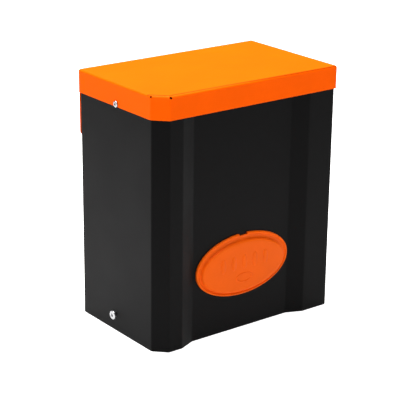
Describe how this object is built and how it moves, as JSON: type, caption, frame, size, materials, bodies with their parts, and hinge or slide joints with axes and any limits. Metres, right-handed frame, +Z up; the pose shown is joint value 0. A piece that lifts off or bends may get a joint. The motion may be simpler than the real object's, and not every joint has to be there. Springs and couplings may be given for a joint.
{
  "type": "sliding gate operator",
  "caption": "Sliding-gate drive unit: black folded steel housing, lift-off orange lid, oval release cap, motor, worm gear and rear rack pinion.",
  "frame": {"origin": "middle of the four anchor slots, on the surface that the base plate rests on", "axes": "+Z up, +X to the right seen from the front, the front is -Y and the pinion side is +Y"},
  "size_m": [0.3088, 0.2295, 0.358],
  "materials": {
    "black_powder_coat": "fine-textured black powder coat on folded steel",
    "orange_powder_coat": "bright orange powder coat, semi gloss",
    "orange_plastic": "moulded orange plastic",
    "zinc_plate": "bright zinc plate",
    "galvanised": "galvanised sheet",
    "cast_aluminium": "die-cast aluminium, as cast",
    "ground_steel": "turned and ground steel",
    "gear_steel": "cut gear steel, lightly oiled",
    "bronze": "cast bronze",
    "laminations": "stacked electrical steel",
    "copper_windings": "enamelled copper wire",
    "black_rubber": "black rubber",
    "foam": "closed-cell foam",
    "black_plastic": "moulded black plastic",
    "white_plastic": "moulded white plastic",
    "green_terminals": "moulded green plastic",
    "circuit_board": "solder-masked board",
    "spring_steel": "spring wire",
    "capacitor_cans": "aluminium cans"
  },
  "bodies": {
    "housing_body": {"housing_shell": "black_powder_coat", "rear_panel": "black_powder_coat", "panel_screws": "zinc_plate", "lid_gasket": "foam", "side_screws": "zinc_plate", "lid_screws": "zinc_plate", "rivet_nuts": "zinc_plate", "base_plate": "galvanised", "cable_grommet": "black_rubber", "gear_case": "cast_aluminium", "oil_plug": "ground_steel", "gear_case_cover": "cast_aluminium", "cover_bolts": "zinc_plate", "foot_bolts": "zinc_plate", "shaft_seal": "black_rubber", "front_bearing": "ground_steel", "rear_bearing": "ground_steel", "worm_foot_bearing": "ground_steel", "worm_top_bearing": "ground_steel", "rotor_bearing": "ground_steel", "motor_lower_bell": "cast_aluminium", "stator_core": "laminations", "motor_windings": "copper_windings", "motor_top_bell": "cast_aluminium", "tie_rods": "zinc_plate", "release_tray": "black_plastic", "release_bush": "bronze", "board_bracket": "galvanised", "bracket_screws": "zinc_plate", "board_standoffs": "zinc_plate", "control_board": "circuit_board", "terminal_blocks": "green_terminals", "board_relays": "black_plastic", "board_transformer": "laminations", "board_capacitors": "capacitor_cans", "board_chips": "black_plastic", "fuse_holder": "white_plastic", "button_switches": "black_plastic", "run_capacitor": "capacitor_cans", "capacitor_clip": "galvanised", "limit_sensor": "black_plastic", "small_screws": "zinc_plate"},
    "lid_body": {"lid": "orange_powder_coat"},
    "cap_body": {"release_cap": "orange_plastic"},
    "output_body": {"output_shaft": "ground_steel", "pinion_key": "ground_steel", "pinion": "gear_steel", "pinion_spacer": "ground_steel", "pinion_bolt": "zinc_plate", "worm_wheel": "bronze", "clutch_spring": "spring_steel"},
    "clutch_body": {"clutch_ring": "gear_steel", "cross_pin": "ground_steel", "push_rod": "ground_steel"},
    "motor_body": {"worm_shaft": "gear_steel", "rotor_core": "laminations"},
    "pad_body": {"thrust_pad": "ground_steel"},
    "knob_body": {"release_knob": "black_plastic"},
    "learn_body": {"learn_button": "white_plastic"},
    "test_body": {"test_button": "white_plastic"}
  },
  "joints": [
    {"name": "motor_spin", "type": "hinge", "parent": "housing_body", "child": "motor_body", "pos_m": [-0.0648, 0.01, 0.1], "axis": [0, 0, 1], "continuous": true},
    {"name": "output_spin", "type": "hinge", "parent": "housing_body", "child": "output_body", "pos_m": [-0.0018, 0, 0.097], "axis": [0, 1, 0], "continuous": true},
    {"name": "lid_lift", "type": "slide", "parent": "housing_body", "child": "lid_body", "axis": [0, 0, 1], "range_m": [0, 0.12]},
    {"name": "cap_pull", "type": "slide", "parent": "housing_body", "child": "cap_body", "axis": [0, -1, 0], "range_m": [0, 0.03]},
    {"name": "pad_slide", "type": "slide", "parent": "housing_body", "child": "pad_body", "axis": [0, 1, 0], "range_m": [0, 0.0065]},
    {"name": "release_turn", "type": "hinge", "parent": "pad_body", "child": "knob_body", "pos_m": [-0.0018, -0.06, 0.097], "axis": [0, 1, 0], "range_deg": [0, 180]},
    {"name": "clutch_shift", "type": "slide", "parent": "output_body", "child": "clutch_body", "axis": [0, 1, 0], "range_m": [0, 0.0065]},
    {"name": "learn_press", "type": "slide", "parent": "housing_body", "child": "learn_body", "axis": [0, 1, 0], "range_m": [0, 0.0003], "stiffness_N_per_m": 800},
    {"name": "test_press", "type": "slide", "parent": "housing_body", "child": "test_body", "axis": [0, 1, 0], "range_m": [0, 0.0003], "stiffness_N_per_m": 800}
  ],
  "couplings": [
    {"joint": "output_spin", "follows": "motor_spin", "ratio": -0.033333},
    {"joint": "pad_slide", "follows": "clutch_shift", "ratio": 1},
    {"joint": "release_turn", "follows": "clutch_shift", "rad_per_m": 483.3}
  ]
}
